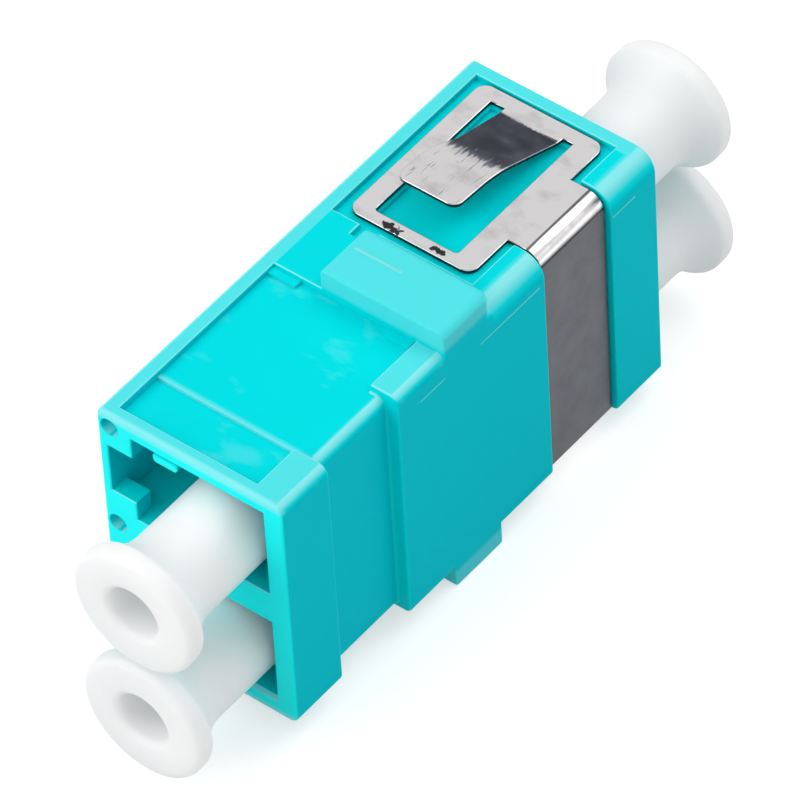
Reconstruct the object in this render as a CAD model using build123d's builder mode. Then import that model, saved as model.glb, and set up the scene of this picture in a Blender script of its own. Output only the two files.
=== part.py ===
from build123d import *
import os

# Duplex fibre adapter: a narrow two-port coupler that clips into a panel cut-out.
# Millimetres. X runs across the thin way of the body, with the keyed side of the ports at -X.
# Y runs along the fibres, with the slimmer half at -Y. Z is up, and the two ports lie one above
# the other. The origin is on the surface that the adapter stands on, under the body's middle.

# Body, whose height and thickness follow from the ports and the walls round them
body_length = 24.1
outer_wall = 0.875
plain_wall = 0.975
latch_wall = 0.425
pad_rise = 1.05

# Ports, one above the other, open at both ends of the body
port_pitch = 6.25
port_size = 4.6
latch_room = 2.1
latch_slot_width = 2.6
latch_slot_depth = 1.25
latch_lip = 0.9
latch_chamber = 4.6
mouth_chamfer = 0.18
key_width = 1.2
key_height = 0.36
key_depth = 2.4
key_inset = 1.15
key_round = 0.17
blind_hole_radius = 0.46
blind_hole_depth = 0.5
blind_hole_inset = 0.74
blind_hole_side = 0.62

# Web across the middle of the ports, with one bore for each pair of sleeve holders
web_thickness = 1.5
web_bore_radius = 1.75

# Slimmer half: a lip at the mouth, a recessed waist and the collar that ends it
lip_length = 2.95
lip_round = 0.5
lip_round_below = 0.4
waist_recess = 0.6
waist_end = 7.3
waist_round = 0.5
waist_corner_round = 0.16
floor_depth = 0.3
lip_floor_depth = 0.42
lip_floor_end_inset = 0.62
lip_floor_width = 6.95
rim_width = 0.72
shoulder_width = 1.4
shoulder_length = 3.0
ledge_height = 0.14
ledge_length = 0.42
ledge_left_width = 1.4
ledge_right_width = 1.35
ledge_right_gap = 0.1

# Collar, stop pads and the fuller half
collar_round = 0.5
far_start_gap = 0.05
far_round = 1.05
round_below = 0.3
edge_round = 0.22
step_round = 0.12
rim_round = 0.08
pad_length = 3.05
pad_inset = 3.15
pad_corner_round = 0.45
pad_corner_round_below = 0.15
pad_crest_round = 0.4
pad_crest_round_below = 0.15
pad_root = 0.7

# Spring clip, one strip of sheet that wraps the thin side and lies in pockets on both pad sides
sheet = 0.2
seat_gap = 0.02
clip_side_gap = 0.4
frame_left_inset = 1.125
frame_right_inset = 1.925
frame_near_gap = 1.1
frame_far_gap = 0.75
frame_round = 0.55
window_margin = 0.95
window_right_margin = 1.15
window_near_margin = 0.6
window_far_margin = 0.7
window_round = 0.18
bridge_near_inset = 2.4
bridge_far_inset = 2.35
bridge_recess = 0.255
bend_radius = 0.6
bend_radius_below = 0.15
tongue_left_root_gap = 0.7
tongue_left_tip_gap = 0.2
tongue_right_root_gap = 0.52
tongue_right_tip_gap = 0.92
tongue_length = 6.45
tongue_knee_from_root = 3.45
tongue_waist_from_root = 3.05
tongue_waist_length = 1.4
tongue_knee_share = 0.8
tongue_root_flat = 0.3
tongue_root_bend = 0.8
tongue_knee_bend = 4.0
tongue_corner = 0.45
pocket_depth = 0.3
pocket_depth_below = 0.15
trench_depth = 0.2
trench_margin = 0.1
bridge_side_gap = 0.1
pocket_notch = 1.0

# Sleeve holders, two halves for each port, with a split sleeve trapped between them
sleeve_bore_radius = 0.625
sleeve_wall = 0.185
sleeve_length = 6.8
sleeve_slit = 0.25
sleeve_clearance = 0.04
sleeve_end_play = 0.1
tower_radius = 1.45
tower_lip = 0.45
way_in_radius = 0.72
way_in_taper = 0.35
tower_chamfer = 0.12
flange_thickness = 0.8
flange_clearance = 0.05
spigot_clearance = 0.05
flange_notch_width = 1.2
flange_notch_depth = 0.35

# Dust plugs
stem_clearance = 0.25
stem_end_gap = 0.3
stem_chamfer = 0.25
plug_tower_clearance = 0.1
plug_tower_end_gap = 0.5
plug_reach = 5.55
flare_gap = 0.25
flare_length = 2.6
flare_land = 0.85
flare_edge_round = 0.3
grip_hole_radius = 1.2
grip_hole_depth = 3.2
grip_hole_round = 0.35

# Places that follow from the sizes above
body_height = port_pitch + port_size + 2 * outer_wall
body_thickness = latch_wall + latch_slot_depth + latch_room + port_size + plain_wall
mid_height = body_height / 2 + pad_rise
half_height = body_height / 2
right_face = body_thickness / 2
left_face = -body_thickness / 2
near_mouth = -body_length / 2
waist_face = right_face - waist_recess
latch_left = left_face + latch_wall
port_left = latch_left + latch_slot_depth
port_half = port_size / 2
port_offset = port_left + latch_room + port_half
port_depth = (body_length - web_thickness) / 2
floor_left = left_face + rim_width
floor_right = right_face - shoulder_width
lip_right = floor_left + lip_floor_width
floor_end = waist_end + shoulder_length
seat_above = half_height - pocket_depth
seat_below = half_height - pocket_depth_below
bridge_face = right_face - bridge_recess
bridge_seat = bridge_face - sheet - seat_gap
pad_left = left_face + pad_inset
pad_end = floor_end + pad_length
collar_end = pad_end + far_start_gap
frame_left = left_face + frame_left_inset
frame_right = right_face - frame_right_inset
frame_start = pad_end + frame_near_gap
frame_end = body_length - frame_far_gap
bridge_start = frame_start + bridge_near_inset
bridge_width = frame_end - bridge_far_inset - bridge_start
window_left = frame_left + window_margin
window_right = frame_right - window_right_margin
window_start = frame_start + window_near_margin
window_end = frame_end - window_far_margin
tongue_left_root = window_left + tongue_left_root_gap
tongue_left_tip = window_left + tongue_left_tip_gap
tongue_right_root = window_right - tongue_right_root_gap
tongue_right_tip = window_right - tongue_right_tip_gap
tongue_tip = window_end - tongue_length
tongue_knee = window_end - tongue_knee_from_root
tongue_waist_end = window_end - tongue_waist_from_root
tongue_waist_start = tongue_waist_end - tongue_waist_length
pocket_left = floor_left
pocket_right = frame_right + clip_side_gap
pocket_start = frame_start - clip_side_gap
pocket_end = frame_end + clip_side_gap / 4
tower_tip = sleeve_length / 2 + sleeve_end_play + tower_lip
tower_bore_radius = sleeve_bore_radius + sleeve_wall + sleeve_clearance
flange_size = port_size - 2 * flange_clearance
flange_face = web_thickness / 2 + flange_thickness
stem_radius = port_half - stem_clearance
flare_radius = (port_pitch - flare_gap) / 2


def station(y):
    """The cross-section plane that lies y from the near mouth, centred on the body's height."""
    return Plane(origin=(0, near_mouth + y, mid_height), x_dir=(1, 0, 0), z_dir=(0, -1, 0))


def level(z):
    """The plane parallel to the pad sides, z above the body's middle, with y from the near mouth."""
    return Plane(origin=(0, near_mouth, mid_height + z), x_dir=(1, 0, 0), z_dir=(0, 0, 1))


def slab(left, right, start, end, low, high, mode=Mode.ADD):
    """A plain block between two x, two y (from the near mouth) and two z (from the middle)."""
    centre = ((left + right) / 2, near_mouth + (start + end) / 2, mid_height + (low + high) / 2)
    with Locations(centre):
        Box(right - left, end - start, high - low, mode=mode)


# Housing: one moulding with both port pairs, the web, the stop pads and the clip's pockets
with BuildPart() as housing:
    # Lip, waist, collar and fuller half: rounded sections drawn along the fibres, with rounded steps
    for start, end, face, half, above, below, rounded_ends in (
        (0, lip_length, right_face, half_height, lip_round, lip_round_below, (0, -1)),
        (lip_length, waist_end, waist_face, half_height - floor_depth, waist_round, round_below, ()),
        (waist_end, collar_end, right_face, half_height, collar_round, round_below, (0,)),
        (collar_end, body_length, right_face, half_height, far_round, round_below, (-1,)),
    ):
        with BuildSketch(station(start)) as section:
            with Locations(((left_face + face) / 2, 0)):
                Rectangle(face - left_face, 2 * half)
            fillet(section.vertices().group_by(Axis.X)[-1].sort_by(Axis.Y)[-1], above)
            fillet(section.vertices().group_by(Axis.X)[-1].sort_by(Axis.Y)[0], below)
            fillet(section.vertices().group_by(Axis.X)[0], edge_round)
        stretch = extrude(amount=start - end, mode=Mode.PRIVATE).solid()
        for at_end in rounded_ends:
            stretch = stretch.fillet(step_round, stretch.edges().group_by(Axis.Y)[at_end])
        add(stretch)

    # Outer rim along the keyed side, unbroken from the lip to the collar
    with BuildSketch(station(lip_length - 2 * step_round)) as rim:
        with Locations((left_face + rim_width / 2, 0)):
            Rectangle(rim_width, body_height)
        fillet(rim.vertices().group_by(Axis.X)[0], edge_round)
    extrude(amount=lip_length - waist_end - 4 * step_round)

    # Concave corner where the waist meets the collar
    waist_corner = (
        housing.edges()
        .filter_by(Axis.Z)
        .filter_by(lambda edge: abs(edge.center().X - waist_face) < 0.01)
        .filter_by(lambda edge: abs(edge.center().Y - near_mouth - waist_end) < 0.01)
    )
    fillet(waist_corner, waist_corner_round)

    for side, seat, corner_round, crest_round in (
        (1, seat_above, pad_corner_round, pad_crest_round),
        (-1, seat_below, pad_corner_round_below, pad_crest_round_below),
    ):
        # Stop pad, whose far wall bears on the panel
        with BuildSketch(level(side * (half_height - pad_root))) as pad_plan:
            with Locations(((pad_left + right_face) / 2, pad_end - pad_length / 2)):
                Rectangle(right_face - pad_left, pad_length)
            fillet(pad_plan.vertices().group_by(Axis.X)[-1].sort_by(Axis.Y)[-1], corner_round)
        pad = extrude(amount=side * (pad_root + pad_rise), mode=Mode.PRIVATE).solid()
        crown = -1 if side > 0 else 0
        pad = pad.fillet(crest_round, pad.edges().group_by(Axis.Z)[crown].group_by(Axis.X)[-1])
        pad = pad.fillet(step_round, pad.edges().group_by(Axis.Z)[crown])
        add(pad)

        # Shallow floor of the waist, which runs on under the lip and up to the collar's wall
        top = side * half_height
        floor = side * (half_height - floor_depth)
        floor_start = waist_end - waist_corner_round - 0.05
        low, high = sorted((floor, top))
        slab(floor_left, floor_right, floor_start, floor_end, low, high, Mode.SUBTRACT)
        low, high = sorted((side * (half_height - lip_floor_depth), top))
        slab(floor_left, lip_right, lip_floor_end_inset, lip_length, low, high, Mode.SUBTRACT)

        # Low ledges at the foot of the collar's wall
        low, high = sorted((floor, floor + side * ledge_height))
        slab(floor_left, floor_left + ledge_left_width, floor_end - ledge_length, floor_end, low, high)
        ledge_right = floor_right - ledge_right_gap
        slab(ledge_right - ledge_right_width, ledge_right, floor_end - ledge_length, floor_end, low, high)

        # Pocket for the clip's frame, with a notch beside the pad
        low, high = sorted((side * seat, top + side * pad_rise))
        slab(pocket_left, pocket_right, pocket_start, pocket_end, low, high, Mode.SUBTRACT)
        slab(pad_left - pocket_notch, pad_left, pad_end, pocket_start, low, high, Mode.SUBTRACT)

        # Trench below the clip's window, where the tongue springs in
        low, high = sorted((side * (seat - trench_depth), top))
        slab(
            window_left + trench_margin, window_right - trench_margin,
            window_start + trench_margin, window_end - trench_margin, low, high, Mode.SUBTRACT,
        )

    # Channel round the thin side for the clip's bridge
    with BuildSketch(station(bridge_start - bridge_side_gap)) as channel:
        with Locations(((right_face + frame_right) / 2, 0)):
            Rectangle(right_face - frame_right, body_height)
        with BuildSketch(mode=Mode.PRIVATE) as channel_core:
            with BuildLine():
                Polyline(
                    (0, -seat_below), (bridge_seat, -seat_below), (bridge_seat, seat_above),
                    (0, seat_above), close=True,
                )
            make_face()
            fillet(channel_core.vertices().group_by(Axis.X)[-1].sort_by(Axis.Y)[-1], bend_radius)
            fillet(channel_core.vertices().group_by(Axis.X)[-1].sort_by(Axis.Y)[0], bend_radius_below)
        add(channel_core.sketch, mode=Mode.SUBTRACT)
    extrude(amount=-bridge_width - 2 * bridge_side_gap, mode=Mode.SUBTRACT)

    # Fine rounding along the rims of the floor, of the lip's strip and of the clip's pocket
    for side in (1, -1):
        rims = (
            housing.edges().filter_by(GeomType.LINE)
            .filter_by(lambda edge: abs(edge.center().Z - mid_height - side * half_height) < 0.001)
        )
        rim_x = (floor_left, lip_right, pocket_right, pad_left - pocket_notch)
        rim_y = [near_mouth + y for y in (lip_floor_end_inset, floor_end, pocket_start, pocket_end)]
        along = [
            edge for edge in rims.filter_by(Axis.Y) if min(abs(edge.center().X - x) for x in rim_x) < 0.001
        ]
        across = [
            edge for edge in rims.filter_by(Axis.X)
            if edge.center().X < floor_right and min(abs(edge.center().Y - y) for y in rim_y) < 0.001
        ]
        fillet(along + across, rim_round)
        shoulder = (
            housing.edges().filter_by(Axis.Y)
            .filter_by(lambda edge: abs(edge.center().X - floor_right) < 0.001)
            .filter_by(lambda edge: abs(edge.center().Z - mid_height - side * half_height) < 0.001)
            .filter_by(lambda edge: edge.length > shoulder_width)
        )
        fillet(shoulder, rim_round)
    channel_sides = (
        housing.edges().filter_by(Axis.Z)
        .filter_by(lambda edge: abs(edge.center().X - right_face) < 0.001)
        .filter_by(lambda edge: abs(edge.center().Y - near_mouth - bridge_start - bridge_width / 2) < bridge_width)
    )
    fillet(channel_sides, rim_round)

    # Ports, from both mouths
    for mouth, inward in ((0, 1), (body_length, -1)):
        for port in (1, -1):
            axis_z = port * port_pitch / 2
            start, end = sorted((mouth, mouth + inward * port_depth))
            slab(
                port_left, port_offset + port_half, start, end,
                axis_z - port_half, axis_z + port_half, Mode.SUBTRACT,
            )
            # Slot for the connector's latch, narrow at the mouth and wide behind it
            start, end = sorted((mouth, mouth + inward * latch_lip))
            slab(
                latch_left, port_left, start, end,
                axis_z - latch_slot_width / 2, axis_z + latch_slot_width / 2, Mode.SUBTRACT,
            )
            start, end = sorted((mouth + inward * latch_lip, mouth + inward * latch_chamber))
            slab(
                latch_left, port_left, start, end,
                axis_z - port_half, axis_z + port_half, Mode.SUBTRACT,
            )
            # Lead-in along the outer wall of the mouth
            with BuildSketch(Plane.YZ.offset(port_left)) as lead_in:
                outer = mid_height + port * (port_pitch / 2 + port_half)
                with BuildLine():
                    Polyline(
                        (near_mouth + mouth, outer),
                        (near_mouth + mouth, outer + port * mouth_chamfer),
                        (near_mouth + mouth + inward * mouth_chamfer, outer),
                        close=True,
                    )
                make_face()
            extrude(amount=port_offset + port_half - port_left, mode=Mode.SUBTRACT)

    # Fine rounding round the mouths, apart from their tapered outer walls
    for at_end in (0, -1):
        mouth_face = housing.faces().sort_by(Axis.Y)[at_end]
        port_edges = [
            edge for wire in mouth_face.inner_wires() for edge in wire.edges()
            if abs(edge.center().Z - mid_height) < port_pitch / 2 + port_half
        ]
        fillet(port_edges, rim_round)

    # Keys that guide the latch, hanging from the outer wall of each port and standing on the divider
    for mouth, inward in ((0, 1), (body_length, -1)):
        for port in (1, -1):
            for wall in (1, -1):
                root = port * port_pitch / 2 + wall * port_half
                with BuildSketch(station(mouth)) as key:
                    with Locations((port_left + key_inset + key_width / 2, root - wall * key_height / 2)):
                        Rectangle(key_width, key_height)
                    tips = key.vertices().sort_by(Axis.Y)
                    fillet(tips[:2] if wall > 0 else tips[2:], key_round)
                extrude(amount=-inward * key_depth)

    # Bores through the web for the holders' spigots
    with BuildSketch(station(port_depth)):
        with Locations((port_offset, port_pitch / 2), (port_offset, -port_pitch / 2)):
            Circle(web_bore_radius)
    extrude(amount=-web_thickness, mode=Mode.SUBTRACT)

    # Blind moulding holes in the faces of the latch lips
    for mouth, inward in ((0, 1), (body_length, -1)):
        with BuildSketch(station(mouth)):
            for z in (-half_height + blind_hole_inset, 0, half_height - blind_hole_inset):
                with Locations((left_face + blind_hole_side, z)):
                    Circle(blind_hole_radius)
        extrude(amount=-inward * blind_hole_depth, mode=Mode.SUBTRACT)

housing.part.label = "housing"


# Spring clip: a frame with a raised tongue on each pad side, and the bridge that joins them
with BuildPart() as spring_clip:
    for side, seat, bend in ((1, seat_above, bend_radius), (-1, seat_below, bend_radius_below)):
        inner = seat + seat_gap
        with BuildSketch(level(side * inner)) as frame_plan:
            with Locations(((frame_left + frame_right) / 2, (frame_start + frame_end) / 2)):
                RectangleRounded(frame_right - frame_left, frame_end - frame_start, frame_round)
            with Locations(((window_left + window_right) / 2, (window_start + window_end) / 2)):
                RectangleRounded(
                    window_right - window_left, window_end - window_start, window_round, mode=Mode.SUBTRACT,
                )
        extrude(amount=side * sheet)

        # Tongue: rooted at the far end, bent up at its root and nearly level beyond the knee
        rise = half_height + pad_rise - sheet - inner
        path = (
            (near_mouth + window_end + sheet, 0),
            (near_mouth + window_end - tongue_root_flat, 0),
            (near_mouth + tongue_knee, rise * tongue_knee_share),
            (near_mouth + tongue_tip, rise),
        )
        with BuildSketch(Plane.YZ.offset(window_left)) as tongue_side:
            with BuildLine():
                lower = FilletPolyline(
                    [(y, mid_height + side * (inner + z)) for y, z in path],
                    radius=[tongue_root_bend, tongue_knee_bend],
                )
                upper = FilletPolyline(
                    [(y, mid_height + side * (inner + z + sheet)) for y, z in path],
                    radius=[tongue_root_bend, tongue_knee_bend],
                )
                Line(lower @ 0, upper @ 0)
                Line(lower @ 1, upper @ 1)
            make_face()
        extrude(amount=window_right - window_left)

        # Plan of the tongue, narrow at its root and wide at its tip
        with BuildSketch(level(side * inner)) as tongue_waste:
            with BuildLine():
                Polyline(
                    (tongue_left_root, window_end), (tongue_left_root, tongue_waist_end),
                    (tongue_left_tip, tongue_waist_start), (tongue_left_tip, tongue_tip - sheet),
                    (window_left, tongue_tip - sheet), (window_left, window_end), close=True,
                )
            make_face()
            with BuildLine():
                Polyline(
                    (tongue_right_root, window_end), (tongue_right_tip, tongue_waist_start),
                    (tongue_right_tip, tongue_tip - sheet), (window_right, tongue_tip - sheet),
                    (window_right, window_end), close=True,
                )
            make_face()
        extrude(amount=side * (rise + sheet), mode=Mode.SUBTRACT)
        tip_y = near_mouth + tongue_tip
        tip_corners = (
            spring_clip.edges()
            .filter_by(lambda edge: abs(edge.center().Y - tip_y) < sheet / 2)
            .filter_by(lambda edge: edge.length < 1.5 * sheet)
            .filter_by(lambda edge: side * (edge.center().Z - mid_height) > half_height)
        )
        fillet(tip_corners, tongue_corner)

        # Half of the bridge: round the bend and on to the middle of the thin side
        with BuildSketch(station(bridge_start)) as bridge_side:
            with BuildLine():
                inside = FilletPolyline(
                    (frame_right - sheet, side * inner), (bridge_face - sheet, side * inner),
                    (bridge_face - sheet, 0), radius=bend,
                )
                outside = FilletPolyline(
                    (frame_right - sheet, side * (inner + sheet)), (bridge_face, side * (inner + sheet)),
                    (bridge_face, 0), radius=bend + sheet,
                )
                Line(inside @ 0, outside @ 0)
                Line(inside @ 1, outside @ 1)
            make_face()
        extrude(amount=-bridge_width)

spring_clip.part.label = "spring_clip"


# Sleeve holders and split sleeves, one set in each port
holders = {}
sleeves = {}
for name, port in (("upper", 1), ("lower", -1)):
    axis_z = mid_height + port * port_pitch / 2
    for end_name, way in (("near", -1), ("far", 1)):
        with BuildPart() as holder:
            # Flange seated on the web, spigot in the web's bore and tower out towards the mouth
            with BuildSketch(Plane(origin=(port_offset, way * web_thickness / 2, axis_z),
                                   x_dir=(1, 0, 0), z_dir=(0, way, 0))) as flange:
                RectangleRounded(flange_size, flange_size, edge_round)
                with Locations((0, flange_size / 2), (0, -flange_size / 2)):
                    Rectangle(flange_notch_width, 2 * flange_notch_depth, mode=Mode.SUBTRACT)
            extrude(amount=flange_thickness)
            with BuildSketch(Plane(origin=(port_offset, 0, axis_z), x_dir=(1, 0, 0), z_dir=(0, way, 0))):
                Circle(tower_radius)
            extrude(amount=tower_tip)
            with BuildSketch(Plane(origin=(port_offset, 0, axis_z), x_dir=(1, 0, 0), z_dir=(0, way, 0))):
                Circle(web_bore_radius - spigot_clearance)
            extrude(amount=web_thickness / 2)
            tip_ring = holder.faces().filter_by(Axis.Y).sort_by(Axis.Y)[-1 if way > 0 else 0]
            chamfer(tip_ring.edges(), tower_chamfer)
            with BuildSketch(Plane(origin=(port_offset, 0, axis_z), x_dir=(1, 0, 0), z_dir=(0, way, 0))):
                Circle(tower_bore_radius)
            extrude(amount=tower_tip - tower_lip, mode=Mode.SUBTRACT)
            # Tapered way in at the tip, whose narrow end traps the sleeve
            with Locations(Plane(origin=(port_offset, way * (tower_tip - tower_lip / 2), axis_z),
                                 x_dir=(1, 0, 0), z_dir=(0, way, 0))):
                Cone(way_in_radius, way_in_radius + way_in_taper, tower_lip, mode=Mode.SUBTRACT)
        holder.part.label = f"{name}_sleeve_holder_{end_name}"
        holders[holder.part.label] = holder.part

    with BuildPart() as sleeve:
        with BuildSketch(Plane(origin=(port_offset, -sleeve_length / 2, axis_z),
                               x_dir=(1, 0, 0), z_dir=(0, 1, 0))):
            Circle(sleeve_bore_radius + sleeve_wall)
            Circle(sleeve_bore_radius, mode=Mode.SUBTRACT)
            with Locations((-sleeve_bore_radius - sleeve_wall / 2, 0)):
                Rectangle(2 * sleeve_wall, sleeve_slit, mode=Mode.SUBTRACT)
        extrude(amount=sleeve_length)
    sleeve.part.label = f"{name}_split_sleeve"
    sleeves[sleeve.part.label] = sleeve.part


# Dust plugs: a stem that slips over the holder's tower, and a flared end to pull it by
plugs = {}
plug_out = body_length / 2 + plug_reach
stem_in = flange_face + stem_end_gap
for name, port in (("upper", 1), ("lower", -1)):
    axis_z = mid_height + port * port_pitch / 2
    for end_name, way in (("near", -1), ("far", 1)):
        with BuildPart() as plug:
            # Half profile: radius across, distance from the body's middle along
            with BuildSketch(Plane(origin=(port_offset, 0, axis_z),
                                   x_dir=(1, 0, 0), z_dir=(0, 0, way))) as half:
                with BuildLine():
                    stem = Line((stem_radius, stem_in), (stem_radius, plug_out - flare_length))
                    rim_start = (flare_radius, plug_out - flare_land)
                    flare = TangentArc(stem @ 1, rim_start, tangent=stem % 1)
                    land = Line(rim_start, (flare_radius, plug_out))
                    outer_end = Line(land @ 1, (0, plug_out))
                    axis_line = Line(outer_end @ 1, (0, stem_in))
                    Line(axis_line @ 1, stem @ 0)
                make_face()
                fillet(half.vertices().filter_by(lambda v: abs(v.X - flare_radius) < 0.01), flare_edge_round)
            revolve(axis=Axis((port_offset, 0, axis_z), (0, 1, 0)))
            inner_face = plug.faces().filter_by(GeomType.PLANE).sort_by(Axis.Y, reverse=way < 0)[0]
            chamfer(inner_face.edges(), stem_chamfer)
            # Bore over the tower, and the blind hole in the flared end
            with BuildSketch(Plane(origin=(port_offset, 0, axis_z), x_dir=(1, 0, 0), z_dir=(0, way, 0))):
                Circle(tower_radius + plug_tower_clearance)
            extrude(amount=tower_tip + plug_tower_end_gap, mode=Mode.SUBTRACT)
            with BuildSketch(Plane(origin=(port_offset, way * plug_out, axis_z),
                                   x_dir=(1, 0, 0), z_dir=(0, way, 0))):
                Circle(grip_hole_radius)
            extrude(amount=-grip_hole_depth, mode=Mode.SUBTRACT)
            hole_edge = plug.edges().filter_by(GeomType.CIRCLE).filter_by(
                lambda edge: abs(edge.radius - grip_hole_radius) < 0.01
            )
            fillet(hole_edge.sort_by(Axis.Y, reverse=way > 0)[0], grip_hole_round)
        plug.part.label = f"{name}_dust_plug_{end_name}"
        plugs[plug.part.label] = plug.part


os.makedirs("parts", exist_ok=True)
export_step(housing.part, "parts/housing.step")
export_step(spring_clip.part, "parts/spring_clip.step")
for group in (holders, sleeves, plugs):
    for label, solid in group.items():
        export_step(solid, f"parts/{label}.step")
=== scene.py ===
import math

import bmesh
import bpy
from mathutils import Matrix, Vector


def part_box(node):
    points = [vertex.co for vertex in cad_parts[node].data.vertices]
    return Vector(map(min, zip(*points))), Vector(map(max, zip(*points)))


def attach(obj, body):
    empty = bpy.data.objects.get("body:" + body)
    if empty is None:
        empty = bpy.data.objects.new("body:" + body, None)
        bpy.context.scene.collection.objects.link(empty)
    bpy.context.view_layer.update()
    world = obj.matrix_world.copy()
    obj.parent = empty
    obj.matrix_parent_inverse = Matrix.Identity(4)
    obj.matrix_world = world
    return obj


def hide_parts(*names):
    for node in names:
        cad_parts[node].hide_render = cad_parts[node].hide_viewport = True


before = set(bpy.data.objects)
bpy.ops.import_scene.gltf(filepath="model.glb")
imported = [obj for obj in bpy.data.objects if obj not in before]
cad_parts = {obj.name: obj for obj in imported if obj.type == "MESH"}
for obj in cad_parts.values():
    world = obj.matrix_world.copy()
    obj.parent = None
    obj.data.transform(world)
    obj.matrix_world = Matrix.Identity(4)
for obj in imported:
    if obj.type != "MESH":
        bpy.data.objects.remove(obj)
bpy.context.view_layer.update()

# Narrow duplex fibre adapter: an aqua moulding, a steel panel clip and four white dust plugs.
# Metres, in the CAD part's own frame. MM turns a size on the real thing into metres.
MM = 0.001

# The view that the photograph was taken from: angles in degrees, lens and sensor in millimetres
VIEW_AZIMUTH = 40.82
VIEW_ELEVATION = 46.75
VIEW_ROLL = -3.58
VIEW_DISTANCE = 361.75 * MM
VIEW_TARGET = Vector((0.87, -0.19, 7.35)) * MM
LENS = 405.0
SENSOR = 36.0
NEAREST_SEEN = 10.0 * MM

# Places on the housing, from the CAD part's own boxes
housing_low, housing_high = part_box("housing")
LEFT_FACE, RIGHT_FACE = housing_low.x, housing_high.x
NEAR_MOUTH, FAR_MOUTH = housing_low.y, housing_high.y
MIDDLE = (housing_low.z + housing_high.z) / 2
LIP_STEP = NEAR_MOUTH + 2.95 * MM
WAIST_END = NEAR_MOUTH + 10.3 * MM
PAD_MIDDLE = NEAR_MOUTH + 11.825 * MM
LEFT_RIM_END = LEFT_FACE + 0.72 * MM
FAR_RIM_START = FAR_MOUTH - 0.8 * MM

# Heights on either pad side, from the middle: the brow is the flat that frames the waist and the clip
PAD_RISE = 1.05 * MM
PAD_CREST = (housing_high.z - housing_low.z) / 2
BROW = PAD_CREST - PAD_RISE
WAIST_FLOOR = BROW - 0.3 * MM

# Fine witness lines of the mould: where its inserts meet, in runs measured from the near mouth, and
# over the upper pad's thick root. Each is a bar that is let into the wall and stands a little proud.
PARTING_HEIGHT = MIDDLE + 5.0 * MM
PARTING_RUNS = ((8.67 * MM, 10.28 * MM), (12.56 * MM, 16.38 * MM), (21.2 * MM, 22.7 * MM))
LINE_WIDTH = 0.06 * MM
LINE_DEPTH = 0.06 * MM
LINE_PROUD = 0.012 * MM
RIDGE_ROUND = 0.3
SINK_PLACE = PAD_MIDDLE + 0.27 * MM
SINK_LENGTH = 2.4 * MM
SINK_WIDTH = 0.16 * MM

# Dark patches of painted reflection on the strip's near bar: the middle of each, from the strip's corner,
# and its reach. A patch is twice as long along X as along Y, and its height doesn't count.
strip_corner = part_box("spring_clip")[0]
REFLECTION_PATCHES = (
    (strip_corner + Vector((2.14, 0.2, 0)) * MM, 0.24 * MM),
    (strip_corner + Vector((4.36, 0.3, 0)) * MM, 0.2 * MM),
)
PATCH_SQUEEZE = (0.5, 1, 0)

# Rounding that stamping leaves where faces of the strip meet at more than so many degrees
STAMPED_EDGE = 0.035 * MM
SHARP_ANGLE = 40.0

# What tells the outer face of the strip's bridge: how near the right face, and how square to it
BRIDGE_REACH = 0.5 * MM
SQUARE_ON = 0.99

# Joining a CAD node's loose triangles: how near two corners lie, and degrees between two flat faces
SAME_PLACE = 0.001 * MM
SAME_PLANE = 0.5

# Light, as a share of what makes a white surface that faces it render white
SKY_LEVEL = 0.78
# lamp, azimuth and elevation in degrees, distance and width in metres, level
LAMPS = (
    ("key_softbox", -33, 38, 0.5, 0.35, 0.32),
    ("front_softbox", -20, 8, 0.6, 0.3, 0.2),
    ("top_softbox", 160, 56, 0.5, 0.3, 0.22),
    ("window_softbox", 118, 14, 0.5, 0.36, 0.12),
)
# height of a direction in the room, from 0 at the horizon to 1 overhead, and how white it is there
ROOM = ((0.08, (1, 1, 1)), (0.16, (0.18, 0.18, 0.2)), (0.42, (0.18, 0.18, 0.18)), (0.55, (1, 1, 1)))
PAPER = "#DADADA"
PAPER_GLOW = 0.54
PAPER_SIZE = 6.0

# A noise pattern stays mostly between these
NOISE_LOW, NOISE_HIGH = 0.3, 0.7


def linear(code):
    """An sRGB hex colour as linear red, green, blue and alpha."""
    channels = [int(code[i:i + 2], 16) / 255 for i in (1, 3, 5)]
    return [c / 12.92 if c <= 0.04045 else ((c + 0.055) / 1.055) ** 2.4 for c in channels] + [1.0]


def node(tree, kind, settings=None, links=None):
    """Adds a node, sets its values and feeds its inputs, from a socket or a node's output in use."""
    made = tree.nodes.new(kind)
    for key, value in (settings or {}).items():
        if isinstance(key, int) or key in made.inputs:
            made.inputs[key].default_value = value
        else:
            setattr(made, key, value)
    for key, source in (links or {}).items():
        if isinstance(source, bpy.types.Node):
            source = next(socket for socket in source.outputs if socket.enabled)
        tree.links.new(source, made.inputs[key])
    return made


def empty_material(name):
    """A material with no nodes, and its node tree."""
    made = bpy.data.materials.new(name)
    made.use_nodes = True
    made.node_tree.nodes.clear()
    return made, made.node_tree


def pattern(tree, size, stretch=(1, 1, 1), detail=2.0):
    """Soft blotches whose real width is size, stretched along some axes."""
    place = node(tree, "ShaderNodeTexCoord").outputs["Object"]
    stretched = node(tree, "ShaderNodeMapping", {"Scale": stretch}, {"Vector": place})
    return node(tree, "ShaderNodeTexNoise", {"Scale": 1 / size, "Detail": detail}, {"Vector": stretched})


def ragged(tree, measure, blotches, amount):
    """A measure that wanders by up to amount either way, so that what follows it has a ragged rim."""
    wander = node(
        tree, "ShaderNodeMapRange",
        {"From Min": NOISE_LOW, "From Max": NOISE_HIGH, "To Min": -amount, "To Max": amount},
        {"Value": blotches},
    )
    return node(tree, "ShaderNodeMath", {"operation": "ADD"}, {0: measure, 1: wander})


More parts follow.
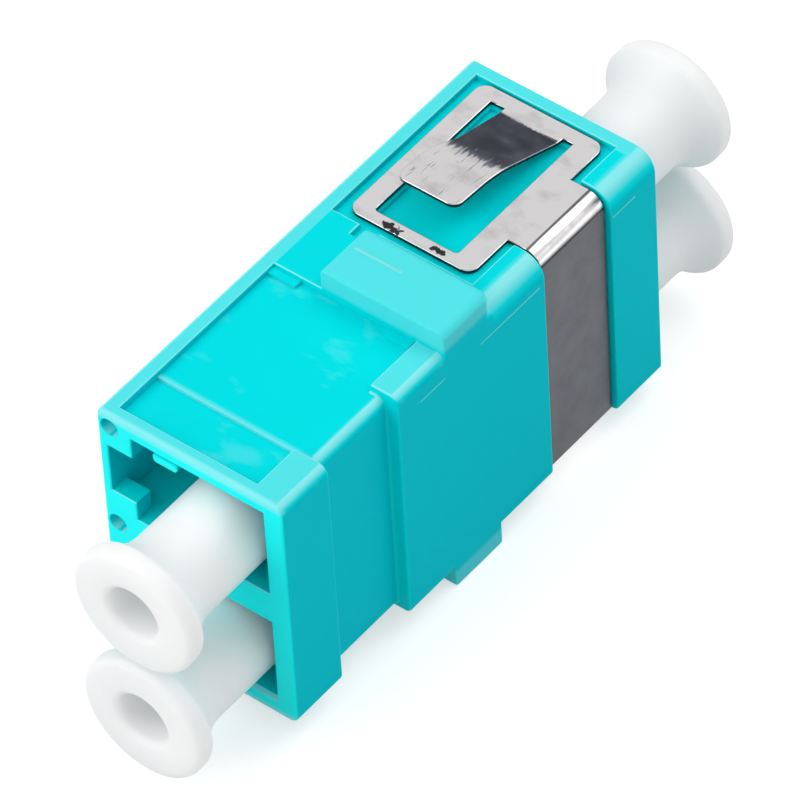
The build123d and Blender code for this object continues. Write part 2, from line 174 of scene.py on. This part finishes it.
def graded(tree, fades, meetings=()):
    """Numbers that change over the surface, by name.

    A fade holds what it is measured along, where it starts and ends, and its value at both ends.
    A meeting holds its name, a math operation and the names of the two numbers that it joins.
    """
    numbers = {}
    for name, (measure, start, end, first, last) in fades.items():
        numbers[name] = node(
            tree, "ShaderNodeMapRange",
            {"From Min": start, "From Max": end, "To Min": first, "To Max": last}, {"Value": measure},
        )
    for name, operation, one, other in meetings:
        numbers[name] = node(
            tree, "ShaderNodeMath", {"operation": operation}, {0: numbers[one], 1: numbers[other]},
        )
    return numbers


def coated(tree, ground, *coats):
    """A colour under coats of others, each a mask and the colour that it lays where it is 1."""
    colour = None
    for mask, coat in coats:
        under = {} if colour is None else {6: colour}
        colour = node(
            tree, "ShaderNodeMix", {"data_type": "RGBA", 6: linear(ground), 7: linear(coat)},
            {0: mask, **under},
        )
    return colour


def leaning(tree):
    """How far the surface faces along X, Y and Z, each from -1 to 1."""
    normal = node(tree, "ShaderNodeNewGeometry").outputs["Normal"]
    return node(tree, "ShaderNodeSeparateXYZ", {}, {0: normal}).outputs


# Polybutylene terephthalate, injection moulded: a soft sheen over strong colour, faint flow clouds
# where the melt met, and a fine grain that breaks up reflections. It is a little translucent. The brow,
# the rims and the pads are a third paler than the floors between them. Painted highlights lie on the
# upper halves of the roundings, on the near mouth's outer edge and on a line past the lip's step; the
# near mouth's end is painted brighter as painted light, and the sides carry painted shade, deeper in
# colour.
def moulded_aqua(name, shade, clouded, pale_and_highlight, roughness, rim="#18FFFF", side_shade="#00CAD8"):
    material, tree = empty_material(name)
    where = node(tree, "ShaderNodeTexCoord").outputs["Object"]
    place = node(tree, "ShaderNodeSeparateXYZ", {}, {0: where}).outputs
    facing = leaning(tree)
    offset = node(tree, "ShaderNodeMath", {"operation": "SUBTRACT", 1: MIDDLE}, {0: place["Z"]})
    height = node(tree, "ShaderNodeMath", {"operation": "ABSOLUTE"}, {0: offset})
    upright = node(tree, "ShaderNodeMath", {"operation": "ABSOLUTE"}, {0: facing["Z"]})
    sideways = node(tree, "ShaderNodeMath", {"operation": "ABSOLUTE"}, {0: facing["X"]})
    flow = pattern(tree, 3.5 * MM, (1, 0.6, 1), 3.0)
    melt_front = pattern(tree, 1.3 * MM, (0.5, 1, 1), 4.0)
    # the tool's grain is about 0.03 mm, too fine to show, so it is drawn at 0.12 mm
    grain = pattern(tree, 0.12 * MM)
    at = graded(
        tree,
        {
            # the brow round the waist, the rims and the pads, a third paler
            "brow": (height, BROW - 0.06 * MM, BROW - 0.02 * MM, 0, 0.33),
            "pads": (height, BROW, BROW + 0.25 * PAD_RISE, 0, 0.33),
            "waist": (place["Y"], WAIST_END - 0.1 * MM, WAIST_END, 1, 0),
            "left rim": (place["X"], LEFT_RIM_END, LEFT_RIM_END + 0.03 * MM, 1, 0),
            "far rim": (place["Y"], FAR_RIM_START, FAR_RIM_START + 0.03 * MM, 0, 1),
            # painted highlight on the roundings below the pads, on the half that is next to a pad side
            "off the wall": (upright, 0.5, 0.86, 0, 1),
            "off the flat": (upright, 0.965, 0.998, 1, 0),
            "below the pads": (height, BROW + 0.1 * MM, BROW + 0.2 * MM, 1, 0),
            # painted highlight on the near mouth's thin outer edge, the palest of all
            "edge's length": (place["Y"], NEAR_MOUTH + 0.15 * MM, NEAR_MOUTH + 0.35 * MM, 0.85, 0),
            "edge's height": (height, BROW - 0.4 * MM, BROW - 0.15 * MM, 0, 1),
            # wisps that the melt front left on the waist's floor, and a painted highlight line past the
            # lip's step
            "wisps": (melt_front, 0.58, 0.7, 0, 0.16),
            "past the step": (place["Y"], LIP_STEP - 0.04 * MM, LIP_STEP, 0, 1),
            "by the step": (place["Y"], LIP_STEP + 0.05 * MM, LIP_STEP + 0.28 * MM, 0.6, 0),
            "down to the floor": (height, WAIST_FLOOR - 0.2 * MM, WAIST_FLOOR - 0.14 * MM, 0, 1),
            "up to the floor": (height, WAIST_FLOOR + 0.02 * MM, WAIST_FLOOR + 0.05 * MM, 1, 0),
            # flow clouds, painted light on the near mouth's end, painted shade on the sides, and the
            # numbers that the surface takes
            "clouds": (flow, NOISE_LOW, NOISE_HIGH, 0, 1),
            "mouth": (place["Y"], NEAR_MOUTH + 0.02 * MM, NEAR_MOUTH + 0.1 * MM, 1, 0),
            "sides": (sideways, 0.9, 0.99, 0, 1),
            "sheen": (sideways, 0.9, 0.99, 0.08, 0.015),
            "roughness": (grain, NOISE_LOW, NOISE_HIGH, roughness - 0.04, roughness + 0.06),
        },
        (
            ("rims", "MAXIMUM", "left rim", "far rim"),
            ("framed", "MAXIMUM", "waist", "rims"),
            ("framed brow", "MULTIPLY", "brow", "framed"),
            ("paler flats", "MAXIMUM", "framed brow", "pads"),
            ("highlit roundings", "MULTIPLY", "off the wall", "off the flat"),
            ("crest highlights", "MULTIPLY", "highlit roundings", "below the pads"),
            ("edge", "MULTIPLY", "edge's length", "edge's height"),
            ("step highlight", "MULTIPLY", "past the step", "by the step"),
            ("marks and painted light", "MAXIMUM", "wisps", "step highlight"),
            ("floors", "MULTIPLY", "down to the floor", "up to the floor"),
            ("waist floor", "MULTIPLY", "floors", "waist"),
            ("floor marks", "MULTIPLY", "marks and painted light", "waist floor"),
            ("pale faces", "MAXIMUM", "paler flats", "crest highlights"),
            ("pale edges", "MAXIMUM", "edge", "floor marks"),
            ("pale_and_highlight", "MAXIMUM", "pale faces", "pale edges"),
        ),
    )
    # the coats: painted shade on the sides, painted light on the near mouth's end, and in the pale coat the
    # paler flats, the wisps and the painted highlights
    colour = coated(
        tree, shade, (at["clouds"], clouded), (at["sides"], side_shade), (at["mouth"], rim), (at["pale_and_highlight"], pale_and_highlight),
    )
    bumps = node(tree, "ShaderNodeBump", {"Strength": 0.3, "Distance": 0.003 * MM}, {"Height": grain})
    surface = node(
        tree, "ShaderNodeBsdfPrincipled",
        {
            "IOR": 1.45, "Specular Tint": linear("#38E4EA"), "Subsurface Weight": 0.2,
            "Subsurface Radius": (0.1, 1.0, 1.0), "Subsurface Scale": 0.35 * MM,
        },
        {
            "Base Color": colour, "Specular IOR Level": at["sheen"], "Roughness": at["roughness"],
            "Normal": bumps,
        },
    )
    node(tree, "ShaderNodeOutputMaterial", {}, {"Surface": surface})
    return material


def patch_distance(tree, centre, reach):
    """The distance from a painted reflection patch's middle, whatever the height, with a ragged rim."""
    place = node(tree, "ShaderNodeTexCoord").outputs["Object"]
    offset = node(tree, "ShaderNodeVectorMath", {"operation": "SUBTRACT", 1: centre}, {0: place})
    squeezed = node(tree, "ShaderNodeVectorMath", {"operation": "MULTIPLY", 1: PATCH_SQUEEZE}, {0: offset})
    away = node(tree, "ShaderNodeVectorMath", {"operation": "LENGTH"}, {0: squeezed})
    return ragged(tree, away, pattern(tree, 0.25 * MM), 0.6 * reach)


# Stainless spring strip, cold rolled and stamped: bright grey with fine streaks along the rolling
# direction, small dents from the press and a few dull smears. Its sheared walls are dull, and they and
# the other steep faces are painted dark as painted shade. Where the tongue slopes it carries a slate-grey
# painted reflection with ragged ends, two dark patches of painted reflection lie on the upper near bar,
# and a dark line of painted reflection lies where it folds.
def rolled_steel(name, shade, worn, roughness, sheared_and_shaded="#3C3C41", slope_reflection="#8C90A0"):
    material, tree = empty_material(name)
    facing = leaning(tree)
    flat = node(tree, "ShaderNodeMath", {"operation": "ABSOLUTE"}, {0: facing["Z"]})
    # rolling streaks are about 0.02 mm apart, too fine to show, so they are drawn at 0.08 mm
    streaks = pattern(tree, 0.08 * MM, (1, 0.06, 1), 3.0)
    dents = pattern(tree, 1.1 * MM, (1, 0.7, 1))
    smears = pattern(tree, 0.9 * MM, (0.7, 1, 1), 5.0)
    # the slope's streaks are about 0.05 mm apart, too fine to show, so they are drawn at 0.14 mm
    slope_streaks = pattern(tree, 0.14 * MM, (1, 0.12, 1))
    patches = [patch_distance(tree, centre, reach) for centre, reach in REFLECTION_PATCHES]
    at = graded(
        tree,
        {
            # the sheared walls are dull; they and the other steep faces, such as the bend's lower part, are
            # painted dark as painted shade
            "walls": (flat, 0.25, 0.45, 1, 0),
            # painted dark reflection where the tongue slopes, with a streaky ragged rim
            "slope": (ragged(tree, facing["Y"], slope_streaks, 0.09), 0.13, 0.19, 0, 1),
            # a line of painted dark reflection where the strip folds
            "fold begins": (facing["X"], 0.03, 0.08, 0, 0.85),
            "fold ends": (facing["X"], 0.16, 0.26, 1, 0),
            # two patches of painted dark reflection on the near bar's upper face
            "first patch": (patches[0], 0.75 * REFLECTION_PATCHES[0][1], REFLECTION_PATCHES[0][1], 1, 0),
            "second patch": (patches[1], 0.75 * REFLECTION_PATCHES[1][1], REFLECTION_PATCHES[1][1], 1, 0),
            "top": (facing["Z"], 0.5, 0.6, 0, 1),
            "smeared": (smears, 0.5, 0.75, 0, 1),
            "roughness": (smears, NOISE_LOW, NOISE_HIGH, roughness - 0.05, roughness + 0.1),
        },
        (
            ("fold reflection", "MULTIPLY", "fold begins", "fold ends"),
            ("dark patches", "MAXIMUM", "first patch", "second patch"),
            ("top patches", "MULTIPLY", "dark patches", "top"),
            ("marks and painted light", "MAXIMUM", "fold reflection", "top patches"),
            ("dark", "MAXIMUM", "walls", "marks and painted light"),
        ),
    )
    # the dark coat holds painted shade and painted reflections, and the slope coat a painted reflection
    colour = coated(tree, shade, (at["smeared"], worn), (at["slope"], slope_reflection), (at["dark"], sheared_and_shaded))
    streaked = node(tree, "ShaderNodeBump", {"Strength": 0.25, "Distance": 0.002 * MM}, {"Height": streaks})
    dented = node(
        tree, "ShaderNodeBump", {"Strength": 0.15, "Distance": 0.01 * MM},
        {"Height": dents, "Normal": streaked},
    )
    surface = node(
        tree, "ShaderNodeBsdfPrincipled", {"Metallic": 1.0},
        {"Base Color": colour, "Roughness": at["roughness"], "Normal": dented},
    )
    node(tree, "ShaderNodeOutputMaterial", {}, {"Surface": surface})
    return material


# Low-density polyethylene, moulded soft: waxy white that light enters, with a broad dull sheen.
def moulded_white():
    material, tree = empty_material("moulded_polyethylene_white")
    cloud = pattern(tree, 2.5 * MM)
    # the moulded skin ripples by about 0.3 mm
    skin = pattern(tree, 0.3 * MM)
    at = graded(
        tree,
        {
            "clouds": (cloud, NOISE_LOW, NOISE_HIGH, 0, 1),
            "roughness": (skin, NOISE_LOW, NOISE_HIGH, 0.42, 0.52),
        },
    )
    ripples = node(tree, "ShaderNodeBump", {"Strength": 0.15, "Distance": 0.004 * MM}, {"Height": skin})
    surface = node(
        tree, "ShaderNodeBsdfPrincipled",
        {
            "IOR": 1.51, "Subsurface Weight": 1.0, "Subsurface Radius": (1.0, 1.0, 0.95),
            "Subsurface Scale": 1.4 * MM,
        },
        {
            "Base Color": coated(tree, "#FCFCFD", (at["clouds"], "#F9FAFC")),
            "Roughness": at["roughness"], "Normal": ripples,
        },
    )
    node(tree, "ShaderNodeOutputMaterial", {}, {"Surface": surface})
    return material


# Zirconia, ground and polished: dense warm white with a hard clear shine and faint grinding rings.
def polished_zirconia():
    material, tree = empty_material("polished_zirconia")
    # grinding rings are microns wide, so they are drawn at 0.15 mm
    rings = pattern(tree, 0.15 * MM, (0.2, 1, 0.2))
    at = graded(tree, {"roughness": (rings, NOISE_LOW, NOISE_HIGH, 0.14, 0.2)})
    surface = node(
        tree, "ShaderNodeBsdfPrincipled", {"IOR": 2.1},
        {"Base Color": coated(tree, "#F0EDE4", (rings, "#EAE6DC")), "Roughness": at["roughness"]},
    )
    node(tree, "ShaderNodeOutputMaterial", {}, {"Surface": surface})
    return material


# White seamless paper: matt, and lit so that it reads as white around the object's own soft shadow.
def white_paper():
    material, tree = empty_material("seamless_paper")
    rays = node(tree, "ShaderNodeLightPath").outputs
    mirrored = node(
        tree, "ShaderNodeMath", {"operation": "MAXIMUM"},
        {0: rays["Is Camera Ray"], 1: rays["Is Glossy Ray"]},
    )
    seen = node(
        tree, "ShaderNodeMath", {"operation": "MAXIMUM"}, {0: mirrored, 1: rays["Is Transmission Ray"]},
    )
    glow = node(tree, "ShaderNodeMath", {"operation": "MULTIPLY", 1: PAPER_GLOW}, {0: seen})
    paper = node(tree, "ShaderNodeBsdfDiffuse", {"Color": linear(PAPER)})
    light = node(tree, "ShaderNodeEmission", {"Color": (1, 1, 1, 1)}, {"Strength": glow})
    both = node(tree, "ShaderNodeAddShader", {}, {0: paper, 1: light})
    node(tree, "ShaderNodeOutputMaterial", {}, {"Surface": both})
    return material


def placed(name, shell):
    """A piece of its own from a finished bmesh, with smooth shading."""
    mesh = bpy.data.meshes.new(name)
    shell.to_mesh(mesh)
    shell.free()
    mesh.shade_smooth()
    piece = bpy.data.objects.new(name, mesh)
    bpy.context.scene.collection.objects.link(piece)
    return piece


def merged_copy(name, cad_node):
    """A CAD node's surface as a piece of its own, with its triangles joined into whole faces."""
    shell = bmesh.new()
    shell.from_mesh(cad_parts[cad_node].data)
    bmesh.ops.remove_doubles(shell, verts=shell.verts, dist=SAME_PLACE)
    bmesh.ops.dissolve_limit(
        shell, angle_limit=math.radians(SAME_PLANE), verts=shell.verts, edges=shell.edges,
        use_dissolve_boundaries=False,
    )
    piece = placed(name, shell)
    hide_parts(cad_node)
    return piece


def soften(piece, width):
    """Rounds every sharp edge of a piece by the same small radius."""
    bevel = piece.modifiers.new("soft_edges", "BEVEL")
    bevel.width = width
    bevel.segments = 3
    bevel.profile = 0.5
    bevel.limit_method = "ANGLE"
    bevel.angle_limit = math.radians(SHARP_ANGLE)
    bevel.use_clamp_overlap = False
    # large faces keep their own direction, so that flat sheet stays flat up to its rounded edges
    flatten = piece.modifiers.new("flat_faces", "WEIGHTED_NORMAL")
    flatten.mode = "FACE_AREA"
    flatten.weight = 100


def ridge(shell, low, high):
    """Adds a low bar between two corners, with its edges rounded by a share of its least side."""
    bar = bmesh.ops.create_cube(shell, size=1.0)["verts"]
    middle = (Vector(low) + Vector(high)) / 2
    size = Vector(high) - Vector(low)
    bmesh.ops.scale(shell, vec=size, verts=bar)
    bmesh.ops.translate(shell, vec=middle, verts=bar)
    edges = {edge for vertex in bar for edge in vertex.link_edges}
    bmesh.ops.bevel(
        shell, geom=list(edges), offset=min(size) * RIDGE_ROUND, offset_type="OFFSET",
        segments=2, profile=0.5, affect="EDGES", material=-1,
    )


def dress(piece, *materials):
    """Gives a piece or a CAD node its finish."""
    piece.data.materials.clear()
    for material in materials:
        piece.data.materials.append(material)


def direction(azimuth, elevation):
    """The way towards a lamp or the camera: azimuth 0 is the near end, and 90 the bridge's side."""
    a, e = math.radians(azimuth), math.radians(elevation)
    return Vector((math.sin(a) * math.cos(e), -math.cos(a) * math.cos(e), math.sin(e)))


def aimed(azimuth, elevation, distance, roll=0.0):
    """Where a lamp or the camera stands that looks at the middle of the view."""
    return (
        Matrix.Translation(VIEW_TARGET + direction(azimuth, elevation) * distance)
        @ Matrix.Rotation(math.radians(azimuth), 4, "Z")
        @ Matrix.Rotation(math.pi / 2 - math.radians(elevation), 4, "X")
        @ Matrix.Rotation(math.radians(roll), 4, "Z")
    )


# Materials
aqua = moulded_aqua("moulded_pbt_aqua", "#00DEE3", "#00E2E7", "#8FEEF1", 0.4)
holder_aqua = moulded_aqua("moulded_pbt_holder", "#00C6CD", "#06CBD1", "#30D2D6", 0.5)
# the witness lines are coloured pale as a painted highlight
line_highlight_aqua = moulded_aqua("moulded_pbt_witness_line_highlight", "#6FE8EB", "#7CEAEC", "#8FEEF1", 0.4, side_shade="#6FE8EB")
steel = rolled_steel("rolled_spring_steel", "#ECEAEA", "#D3D1D2", 0.18)
# the bridge's outer face is painted dark as the shade that it mirrors
shaded_bridge_steel = rolled_steel("rolled_spring_steel_bridge_shade", "#5E5E63", "#66656A", 0.38, sheared_and_shaded="#5E5E63")
plug_white = moulded_white()
zirconia = polished_zirconia()

# Housing, holders, sleeves and dust plugs are the CAD part's own solids
dress(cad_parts["housing"], aqua)
for port in ("upper", "lower"):
    dress(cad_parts[f"{port}_split_sleeve"], zirconia)
    for end in ("near", "far"):
        dress(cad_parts[f"{port}_sleeve_holder_{end}"], holder_aqua)
        dress(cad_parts[f"{port}_dust_plug_{end}"], plug_white)

# Spring clip, with the duller outer face of its bridge painted dark as painted shade
clip = merged_copy("clip_strip", "spring_clip")
dress(clip, steel, shaded_bridge_steel)
for face in clip.data.polygons:
    on_bridge = face.normal.x > SQUARE_ON and face.center.x > RIGHT_FACE - BRIDGE_REACH
    face.material_index = 1 if on_bridge else 0
soften(clip, STAMPED_EDGE)
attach(clip, "adapter")

# Witness lines of the mould: along the right face, and one across the upper stop pad
lines = bmesh.new()
for start, end in PARTING_RUNS:
    ridge(
        lines, (RIGHT_FACE - LINE_DEPTH, NEAR_MOUTH + start, PARTING_HEIGHT - LINE_WIDTH / 2),
        (RIGHT_FACE + LINE_PROUD, NEAR_MOUTH + end, PARTING_HEIGHT + LINE_WIDTH / 2),
    )
ridge(
    lines, (-SINK_LENGTH / 2, SINK_PLACE - SINK_WIDTH / 2, MIDDLE + PAD_CREST - LINE_DEPTH),
    (SINK_LENGTH / 2, SINK_PLACE + SINK_WIDTH / 2, MIDDLE + PAD_CREST + LINE_PROUD),
)
mould_lines = placed("mould_lines", lines)
dress(mould_lines, line_highlight_aqua)
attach(mould_lines, "adapter")

# Floor
bpy.ops.mesh.primitive_plane_add(size=PAPER_SIZE)
floor = bpy.context.object
floor.name = "paper_floor"
floor.data.materials.append(white_paper())

# Room: white ceiling and horizon, with darker walls between them that the steel picks up
world = bpy.data.worlds.new("studio")
bpy.context.scene.world = world
world.use_nodes = True
tree = world.node_tree
tree.nodes.clear()
way = node(tree, "ShaderNodeTexCoord").outputs["Generated"]
height = node(tree, "ShaderNodeSeparateXYZ", {}, {0: way}).outputs["Z"]
walls = node(tree, "ShaderNodeValToRGB", {}, {"Fac": height})
bands = walls.color_ramp.elements
bands.remove(bands[1])
for number, (place, shade) in enumerate(ROOM):
    band = bands[0] if number == 0 else bands.new(place)
    band.position = place
    band.color = (*shade, 1)
seen = node(tree, "ShaderNodeLightPath").outputs["Is Camera Ray"]
strength = node(tree, "ShaderNodeMapRange", {"To Min": SKY_LEVEL, "To Max": 1}, {"Value": seen})
sky = node(tree, "ShaderNodeBackground", {}, {"Color": walls, "Strength": strength})
node(tree, "ShaderNodeOutputWorld", {}, {"Surface": sky})

# Lamps, each a square softbox whose power gives its level at its distance
for name, azimuth, elevation, distance, width, level in LAMPS:
    lamp = bpy.data.lights.new(name, "AREA")
    lamp.shape = "SQUARE"
    lamp.size = width
    lamp.energy = level * (math.pi * distance) ** 2
    stand = bpy.data.objects.new(name, lamp)
    bpy.context.scene.collection.objects.link(stand)
    stand.matrix_world = aimed(azimuth, elevation, distance)

# Camera
camera_data = bpy.data.cameras.new("photograph_view")
camera_data.lens = LENS
camera_data.sensor_width = SENSOR
camera_data.sensor_fit = "HORIZONTAL"
camera_data.clip_start = NEAREST_SEEN
camera = bpy.data.objects.new("photograph_view", camera_data)
bpy.context.scene.collection.objects.link(camera)
camera.matrix_world = aimed(VIEW_AZIMUTH, VIEW_ELEVATION, VIEW_DISTANCE, VIEW_ROLL)
bpy.context.scene.camera = camera
bpy.context.scene.view_settings.view_transform = "Standard"
